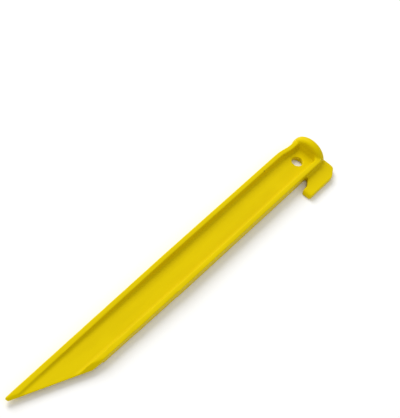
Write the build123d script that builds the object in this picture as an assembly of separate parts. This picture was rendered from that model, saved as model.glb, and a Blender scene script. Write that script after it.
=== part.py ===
from build123d import *
import math
import os

os.makedirs("parts", exist_ok=True)

# A one-piece moulded ground stake, lying on its flat back with its open face up.
# The long axis is Y: the point is at -Y and the striking head at +Y. The cord hook is on the +X side.
# Lengths are in millimetres. Working heights along Y are measured from the centre of the line eye,
# and X is measured from the middle of the shank until the finished body is moved to its origin.

# Overall sizes
total_length = 304.8        # crown of the head to the tip, a nominal 12 inches
shank_width = 25.5          # over both flanges, along the parallel length
section_depth = 8.8         # flat back to flange rims
web_thickness = 4.2         # the plate between the flanges, which runs on into the hook
flange_thickness = 3.4      # at the rim

# Shank
flange_draft = 13.0         # degrees, inner side of the flanges
root_radius = 1.3           # where the flanges meet the web
fall_length = 150.0         # the rims come down over this last part of the shank
tip_depth = 5.4             # flat back to rims at the tip
taper_inset = 1.2           # the hook-side flange stands this much further in at the point's corner
point_length = 54.7         # length of the slanting cut that makes the point
tip_width = 2.75            # blunt end of the point
edge_thickness = 0.8        # of the plate along the slanting cut
back_bevel_width = 9.0      # bevel on the back of the cut
front_bevel_angle = 35.0    # degrees, where the flanges run out at the cut

# Neck: the flange opposite the hook steps in under the head
neck_inset = 1.85
neck_drop = 11.5            # start of the step, below the eye
neck_length = 18.5
neck_draft = 3.0            # degrees

# Striking head: a round button with a shallow crown, flat where it meets the back plane
eye_to_head = 9.9           # centre of the eye to the underside of the head
head_overhang = 0.35        # the head is this much wider than the shank on each side
head_under_radius = 2.6     # rounding of the lower edge
head_side = 2.3             # straight side above the rounding
head_crown = 1.9            # rise of the crown above the side
head_edge_radius = 0.6      # between the side and the crown
flange_into_head = 1.1      # the flanges end this far above the underside
shoulder_height = 2.5       # the flange's outer corner slopes in to the head over this length
hook_corner_fill = 4.0      # inside corner between the head and the hook-side flange

# Line eye
eye_diameter = 8.0

# Cord hook: a flat plate level with the web, with an arm that points towards the tip
slot_gap = 5.05             # between the flange and the arm
arm_width = 7.5
arm_drop = 17.4             # lowest edge of the arm, below the eye
slot_apex_drop = 4.2        # top of the slot at the flange, below the eye
slot_roof_fall = 7.5        # the roof slants down to the arm
hook_rise = 16.3            # top edge of the hook, above the eye
hook_chamfer_width = 4.6
hook_chamfer_height = 8.0
hook_corner_radius = 3.6
arm_corner_radius = 1.8
arm_root_radius = 2.0
toe_radius = 2.2            # rounding of the front edge at the end of the arm

# Worked-out positions
half_width = shank_width / 2
rim_half_width = half_width - flange_thickness
head_radius = half_width + head_overhang
head_centre_height = web_thickness / 2
head_under = eye_to_head
head_side_start = head_under + head_under_radius
head_side_end = head_side_start + head_side
head_top = head_side_end + head_crown
tip_y = head_top - total_length
fall_start = tip_y + fall_length
corner_y = tip_y + point_length
corner_x = half_width - taper_inset
tip_x = tip_width - half_width
neck_start = -neck_drop
neck_end = neck_start + neck_length
flange_end = head_under + flange_into_head
arm_inner = half_width + slot_gap
arm_outer = arm_inner + arm_width
overrun = 10.0              # cutters reach this far past what they cut


def hook_side_x(y):
    """Outer face of the hook-side flange, which leans in over the last part of the shank."""
    return half_width - taper_inset * (fall_start - y) / (fall_start - corner_y)


def neck_curve(offset):
    """The stepped side under the head, a distance inside the outer face of the flange."""
    low = (-half_width + offset, neck_start)
    high = (-half_width + neck_inset + offset, neck_end)
    middle = ((low[0] + high[0]) / 2, (low[1] + high[1]) / 2)
    first = TangentArc(low, middle, tangent=(0, 1))
    second = TangentArc(middle, high, tangent=first % 1)
    return low, high, [first, second]


def shank_blank():
    """Full-depth body: both flanges, the space between them still filled."""
    low, high, step = neck_curve(0)
    top_left = (high[0], flange_end)
    top_right = (half_width, flange_end)
    edges = [
        Line((-half_width, tip_y), low),
        *step,
        Line(high, top_left),
        Line(top_left, top_right),
        Line(top_right, (half_width, fall_start)),
        Line((half_width, fall_start), (corner_x, corner_y)),
        Line((corner_x, corner_y), (tip_x, tip_y)),
        Line((tip_x, tip_y), (-half_width, tip_y)),
    ]
    return extrude(make_face(edges), section_depth)


def rim_fall():
    """Cutter above the rims: they come down towards the tip."""
    slope = (section_depth - tip_depth) / fall_length
    profile = Polyline(
        (fall_start, section_depth),
        (tip_y - overrun, tip_depth - overrun * slope),
        (tip_y - overrun, section_depth + overrun),
        (fall_start, section_depth + overrun),
        close=True,
    )
    return extrude(Plane.YZ * make_face(profile), shank_width, both=True)


def pocket():
    """The space between the flanges, open at the cut and closed by the head."""
    depth = section_depth - web_thickness
    end_y = tip_y - overrun
    end_x = hook_side_x(end_y) - flange_thickness
    corners = (
        (-rim_half_width, end_y),
        (end_x, end_y),
        (rim_half_width, fall_start),
        (rim_half_width, head_under),
        (-rim_half_width, head_under),
    )
    face = make_face(Polyline(*corners, close=True))
    face = fillet(face.vertices().sort_by_distance(corners[3])[0], hook_corner_fill)
    rim = Plane.XY.offset(section_depth)
    main = extrude(rim * face, depth, dir=(0, 0, -1), taper=flange_draft)
    main = fillet(main.edges().group_by(Axis.Z)[0], root_radius)
    low, high, step = neck_curve(flange_thickness)
    far_x = rim_half_width + overrun
    top_y = head_under + overrun
    outline = [
        *step,
        Line(high, (high[0], top_y)),
        Line((high[0], top_y), (far_x, top_y)),
        Line((far_x, top_y), (far_x, end_y)),
        Line((far_x, end_y), (low[0], end_y)),
        Line((low[0], end_y), low),
    ]
    limit = extrude(rim * make_face(outline), depth, dir=(0, 0, -1), taper=neck_draft)
    return main & limit


def head():
    """Round striking button, cut off level with the flat back."""
    rounding_start = head_radius - head_under_radius
    crown_radius = (head_radius**2 + head_crown**2) / (2 * head_crown)
    edges = [
        Line((0, head_top), (0, head_under)),
        Line((0, head_under), (rounding_start, head_under)),
        RadiusArc((rounding_start, head_under), (head_radius, head_side_start), -head_under_radius),
        Line((head_radius, head_side_start), (head_radius, head_side_end)),
        RadiusArc((head_radius, head_side_end), (0, head_top), -crown_radius),
    ]
    face = make_face(edges)
    face = fillet(face.vertices().sort_by_distance((head_radius, head_side_end))[0], head_edge_radius)
    button = Pos(0, 0, head_centre_height) * revolve(face, Axis.Y)
    return split(button, Plane.XY, keep=Keep.TOP)


def hook():
    """Flat plate beside the head with its arm and the slot for the cord."""
    slot_apex = (half_width, -slot_apex_drop)
    slot_low = (arm_inner, -slot_apex_drop - slot_roof_fall)
    arm_inside = (arm_inner, -arm_drop)
    arm_outside = (arm_outer, -arm_drop)
    chamfer_low = (arm_outer, hook_rise - hook_chamfer_height)
    chamfer_high = (arm_outer - hook_chamfer_width, hook_rise)
    root_high = (rim_half_width, hook_rise)
    root_low = (rim_half_width, -slot_apex_drop)
    outline = Polyline(
        slot_apex, slot_low, arm_inside, arm_outside, chamfer_low, chamfer_high, root_high, root_low,
        close=True,
    )
    face = make_face(outline)
    for corner, radius in (
        (slot_low, arm_root_radius),
        (arm_inside, arm_corner_radius),
        (arm_outside, arm_corner_radius),
        (chamfer_low, hook_corner_radius),
        (chamfer_high, hook_corner_radius),
    ):
        face = fillet(face.vertices().sort_by_distance(corner)[0], radius)
    return extrude(face, web_thickness)


def eye():
    """Cutter for the line eye."""
    return Pos(0, 0, web_thickness / 2) * Cylinder(eye_diameter / 2, web_thickness + overrun)


def shoulder():
    """Cutter that leads the flange's outer corner in to the side of the head."""
    far = head_radius + shoulder_height
    profile = Polyline(
        (head_radius, flange_end),
        (far, flange_end - shoulder_height),
        (far, flange_end + overrun),
        (head_radius, flange_end + overrun),
        close=True,
    )
    return Pos(0, 0, head_centre_height) * revolve(make_face(profile), Axis.Y)


def point_bevels():
    """Cutters along the slanting cut: the bevel on the back, and the slope that the flanges end in."""
    along = (Vector(corner_x, corner_y) - Vector(tip_x, tip_y)).normalized()
    inward = Vector(-along.Y, along.X, 0)
    section = Plane(origin=Vector(tip_x, tip_y) - along * overrun, x_dir=inward, z_dir=along)
    edge_bottom = web_thickness - edge_thickness
    slope_top = web_thickness + overrun * math.tan(math.radians(front_bevel_angle))
    back = Polyline(
        (0, edge_bottom),
        (back_bevel_width * (1 + overrun / edge_bottom), -overrun),
        (-overrun, -overrun),
        (-overrun, edge_bottom),
        close=True,
    )
    front = Polyline(
        (0, web_thickness),
        (overrun, slope_top),
        (-overrun, slope_top),
        (-overrun, web_thickness),
        close=True,
    )
    length = (Vector(corner_x, corner_y) - Vector(tip_x, tip_y)).length + 2 * overrun
    return extrude(section * make_face(back), length) + extrude(section * make_face(front), length)


def toe():
    """Cutter that rounds the front edge at the end of the arm."""
    reach = toe_radius + overrun
    corner = Rectangle(reach, reach, align=(Align.MAX, Align.MIN)) - Circle(toe_radius)
    profile = Pos(toe_radius - arm_drop, web_thickness - toe_radius) * corner
    return extrude(Plane.YZ.offset(half_width) * profile, arm_outer)


stake = shank_blank() - pocket() - rim_fall() - shoulder()
stake = stake + (hook() - toe()) + head()
stake = stake - eye() - point_bevels()
stake = stake.clean()

size = stake.bounding_box()
stake = Pos(-size.center().X, -size.center().Y, -size.min.Z) * stake
print("size", size.size, "valid", stake.is_valid, "solids", len(stake.solids()))
stake = stake.solids()[0]
stake.label = "stake_moulding"
export_step(stake, "parts/stake_moulding.step")
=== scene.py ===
import math

import bpy
from mathutils import Matrix, Vector


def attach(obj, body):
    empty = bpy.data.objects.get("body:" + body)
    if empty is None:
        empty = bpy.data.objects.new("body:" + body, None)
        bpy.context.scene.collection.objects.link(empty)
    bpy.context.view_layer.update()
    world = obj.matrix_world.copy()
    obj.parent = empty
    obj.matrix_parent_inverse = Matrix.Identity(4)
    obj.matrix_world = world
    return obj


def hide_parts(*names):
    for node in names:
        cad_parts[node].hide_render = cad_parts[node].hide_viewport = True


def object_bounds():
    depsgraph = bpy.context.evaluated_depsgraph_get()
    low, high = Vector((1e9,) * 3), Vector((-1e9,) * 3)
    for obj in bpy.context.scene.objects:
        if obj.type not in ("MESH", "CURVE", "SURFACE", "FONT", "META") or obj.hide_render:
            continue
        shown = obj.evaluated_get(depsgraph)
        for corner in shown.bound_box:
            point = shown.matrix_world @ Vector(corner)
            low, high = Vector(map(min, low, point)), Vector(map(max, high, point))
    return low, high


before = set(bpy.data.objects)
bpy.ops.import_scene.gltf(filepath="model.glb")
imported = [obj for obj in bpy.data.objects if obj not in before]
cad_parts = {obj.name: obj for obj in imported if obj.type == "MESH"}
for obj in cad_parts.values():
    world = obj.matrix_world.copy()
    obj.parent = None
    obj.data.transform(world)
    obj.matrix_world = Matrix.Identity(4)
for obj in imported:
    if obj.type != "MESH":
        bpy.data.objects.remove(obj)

cad_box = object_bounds()

# Camera, from the foot end and the hook side, with the head up and to the right
CAMERA_AZIMUTH = math.radians(22.0136)
CAMERA_ELEVATION = math.radians(51.2007)
CAMERA_ROLL = math.radians(-21.1705)
CAMERA_DISTANCE = 1.17362
CAMERA_LENS = 149.818
AIM_SIDE = -0.028156
AIM_ALONG = 0.053564

# Colours, linear
PLASTIC = (0.675, 0.515, 0.0003)
PLASTIC_DEEP = (0.61, 0.455, 0.0002)
# The pale tone serves both the random pale clouds in the plastic and the painted highlight on sharp edges
PLASTIC_PALE_AND_EDGE_HIGHLIGHT = (0.715, 0.555, 0.0006)
SPECK = (0.16, 0.10, 0.01)
FLOOR = (0.93, 0.93, 0.925)

# Softened edges of the moulding: the remesh cell in metres, then how hard and how often it is smoothed
VOXEL = 0.0005
SMOOTH_FACTOR = 0.5
SMOOTH_REPEAT = 5

# The speck on the flange opposite the hook, measured from the head end of the stake
SPECK_SIDE = -0.0152
SPECK_FROM_TOP = 0.0454
SPECK_RADIUS = 0.0009
SPECK_HEIGHT = 0.0088
SPECK_STRENGTH = 0.8

# Plastic texture: a larger noise scale is finer; the streaks are drawn out along the stake
STREAK_SCALE = 160
STREAK_STRETCH = 0.12
CLOUD_SCALE = 45
GRAIN_SCALE = 1900
SCUFF_SCALE = 420
GRAIN_HEIGHT = 0.00003
CLOUD_HEIGHT = 0.0002
ROUGHNESS_LOW = 0.38
ROUGHNESS_HIGH = 0.52
SPECULAR_LEVEL = 0.12
SPECULAR_TINT = (1, 0.8, 0.08, 1)
FLOOR_ROUGHNESS = 0.9

# Studio
FLOOR_HALF = 6.0
FLOOR_GAP = 0.0002
WORLD_STRENGTH = 0.7
KEY_PLACE = (-1.12, 0.3, 1.18)
KEY_SIZE = 1.1
KEY_POWER = 19.5


def principled(name):
    """A new material, its node tree and its shader node."""
    material = bpy.data.materials.new(name)
    material.use_nodes = True
    tree = material.node_tree
    return material, tree, tree.nodes["Principled BSDF"]


def noise(tree, place, scale, detail):
    """A noise texture in object space."""
    node = tree.nodes.new("ShaderNodeTexNoise")
    node.inputs["Scale"].default_value = scale
    node.inputs["Detail"].default_value = detail
    tree.links.new(place, node.inputs["Vector"])
    return node.outputs["Fac"]


def remap(tree, value, low, high, out_low, out_high):
    """Value moved from one range to another, clamped."""
    node = tree.nodes.new("ShaderNodeMapRange")
    node.inputs["From Min"].default_value = low
    node.inputs["From Max"].default_value = high
    node.inputs["To Min"].default_value = out_low
    node.inputs["To Max"].default_value = out_high
    tree.links.new(value, node.inputs["Value"])
    return node.outputs["Result"]


def mix_colour(tree, factor, first, second):
    """A blend of two colours; each is a colour or another node's output."""
    node = tree.nodes.new("ShaderNodeMix")
    node.data_type = "RGBA"
    tree.links.new(factor, node.inputs["Factor"])
    # Sockets 6 and 7, and output 2, are the colour ones of the mix node
    for socket, colour in ((node.inputs[6], first), (node.inputs[7], second)):
        if isinstance(colour, tuple):
            socket.default_value = (*colour, 1)
        else:
            tree.links.new(colour, socket)
    return node.outputs[2]


def bump(tree, height, distance, strength, normal):
    """A bump layer on top of another one."""
    node = tree.nodes.new("ShaderNodeBump")
    node.inputs["Distance"].default_value = distance
    node.inputs["Strength"].default_value = strength
    tree.links.new(height, node.inputs["Height"])
    if normal is not None:
        tree.links.new(normal, node.inputs["Normal"])
    return node.outputs["Normal"]


def plastic():
    """Satin yellow moulded plastic: flow streaks, fine grain, random pale clouds, a painted highlight on the
    sharp edges and one dark speck.
    """
    material, tree, shader = principled("stake_plastic")
    place = tree.nodes.new("ShaderNodeTexCoord").outputs["Object"]

    stretch = tree.nodes.new("ShaderNodeMapping")
    stretch.inputs["Scale"].default_value = (1, STREAK_STRETCH, 1)
    tree.links.new(place, stretch.inputs["Vector"])
    streaks = noise(tree, stretch.outputs["Vector"], STREAK_SCALE, 3)
    clouds = noise(tree, place, CLOUD_SCALE, 3)
    grain = noise(tree, place, GRAIN_SCALE, 2)
    scuffs = noise(tree, place, SCUFF_SCALE, 5)

    colour = mix_colour(tree, remap(tree, streaks, 0.35, 0.68, 0, 0.5), PLASTIC, PLASTIC_DEEP)
    colour = mix_colour(tree, remap(tree, clouds, 0.5, 0.75, 0, 0.4), colour, PLASTIC_PALE_AND_EDGE_HIGHLIGHT)
    # Painted highlight: sharp convex edges are blended towards the pale tone, standing in for light caught on
    # the rims
    painted_edge_highlight = tree.nodes.new("ShaderNodeNewGeometry").outputs["Pointiness"]
    colour = mix_colour(tree, remap(tree, painted_edge_highlight, 0.505, 0.54, 0, 0.6), colour, PLASTIC_PALE_AND_EDGE_HIGHLIGHT)

    distance = tree.nodes.new("ShaderNodeVectorMath")
    distance.operation = "DISTANCE"
    tree.links.new(place, distance.inputs[0])
    speck_place = (SPECK_SIDE, cad_box[1].y - SPECK_FROM_TOP, cad_box[0].z + SPECK_HEIGHT)
    distance.inputs[1].default_value = speck_place
    speck = remap(tree, distance.outputs["Value"], SPECK_RADIUS / 2, SPECK_RADIUS, SPECK_STRENGTH, 0)
    colour = mix_colour(tree, speck, colour, SPECK)
    tree.links.new(colour, shader.inputs["Base Color"])

    tree.links.new(remap(tree, scuffs, 0.3, 0.7, ROUGHNESS_LOW, ROUGHNESS_HIGH), shader.inputs["Roughness"])
    shader.inputs["Specular IOR Level"].default_value = SPECULAR_LEVEL
    shader.inputs["Specular Tint"].default_value = SPECULAR_TINT
    normal = bump(tree, grain, GRAIN_HEIGHT, 0.5, None)
    normal = bump(tree, clouds, CLOUD_HEIGHT, 0.3, normal)
    tree.links.new(normal, shader.inputs["Normal"])
    return material


def floor_material():
    """Plain pale matt floor."""
    material, _, shader = principled("studio_floor")
    shader.inputs["Base Color"].default_value = (*FLOOR, 1)
    shader.inputs["Roughness"].default_value = FLOOR_ROUGHNESS
    shader.inputs["Specular IOR Level"].default_value = 0
    return material


def add_moulding(node):
    """The moulded body with its edges softened. The CAD body has sharp rims, and this piece stands for it."""
    softened = bpy.data.objects.new("stake_body", node.data.copy())
    bpy.context.scene.collection.objects.link(softened)
    softened.matrix_world = node.matrix_world.copy()
    remesh = softened.modifiers.new("remesh", "REMESH")
    remesh.mode = "VOXEL"
    remesh.voxel_size = VOXEL
    remesh.use_smooth_shade = True
    smooth = softened.modifiers.new("smooth", "SMOOTH")
    smooth.factor = SMOOTH_FACTOR
    smooth.iterations = SMOOTH_REPEAT
    graph = bpy.context.evaluated_depsgraph_get()
    mesh = bpy.data.meshes.new_from_object(softened.evaluated_get(graph))
    softened.modifiers.clear()
    softened.data = mesh
    mesh.materials.clear()
    mesh.materials.append(plastic())
    mesh.shade_smooth()
    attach(softened, "root")
    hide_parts("stake_moulding")


def add_floor():
    """A wide pale floor under the stake."""
    half = FLOOR_HALF
    mesh = bpy.data.meshes.new("floor")
    corners = [(-half, -half, 0), (half, -half, 0), (half, half, 0), (-half, half, 0)]
    mesh.from_pydata(corners, [], [(0, 1, 2, 3)])
    floor = bpy.data.objects.new("floor", mesh)
    bpy.context.scene.collection.objects.link(floor)
    mesh.materials.append(floor_material())
    floor.location.z = cad_box[0].z - FLOOR_GAP


def add_area_light(name, place, size, power):
    """A square soft light aimed at the stake."""
    light = bpy.data.lights.new(name, "AREA")
    light.shape = "SQUARE"
    light.size = size
    light.energy = power
    holder = bpy.data.objects.new(name, light)
    bpy.context.scene.collection.objects.link(holder)
    holder.location = place
    holder.rotation_euler = (-Vector(place)).to_track_quat("-Z", "Y").to_euler()


def add_world(strength):
    """Even white light from all round."""
    world = bpy.data.worlds.new("studio")
    world.use_nodes = True
    background = world.node_tree.nodes["Background"]
    background.inputs["Color"].default_value = (1, 1, 1, 1)
    background.inputs["Strength"].default_value = strength
    bpy.context.scene.world = world


def add_camera():
    """The camera stands off the aim point by its azimuth and elevation, then turns about its own axis."""
    back = Vector((
        math.sin(CAMERA_AZIMUTH) * math.cos(CAMERA_ELEVATION),
        -math.cos(CAMERA_AZIMUTH) * math.cos(CAMERA_ELEVATION),
        math.sin(CAMERA_ELEVATION),
    ))
    data = bpy.data.cameras.new("camera")
    data.lens = CAMERA_LENS
    data.sensor_width = 36.0
    data.clip_start = 0.01
    data.clip_end = 50.0
    camera = bpy.data.objects.new("camera", data)
    bpy.context.scene.collection.objects.link(camera)
    level = (-back).to_track_quat("-Z", "Y").to_matrix()
    turn = Matrix.Rotation(-CAMERA_ROLL, 3, "Z")
    place = Vector((AIM_SIDE, AIM_ALONG, 0)) + back * CAMERA_DISTANCE
    camera.matrix_world = Matrix.Translation(place) @ (level @ turn).to_4x4()
    bpy.context.scene.camera = camera


add_moulding(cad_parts["stake_moulding"])
add_floor()
add_world(WORLD_STRENGTH)
add_area_light("key", KEY_PLACE, KEY_SIZE, KEY_POWER)
add_camera()
bpy.context.scene.view_settings.view_transform = "Standard"
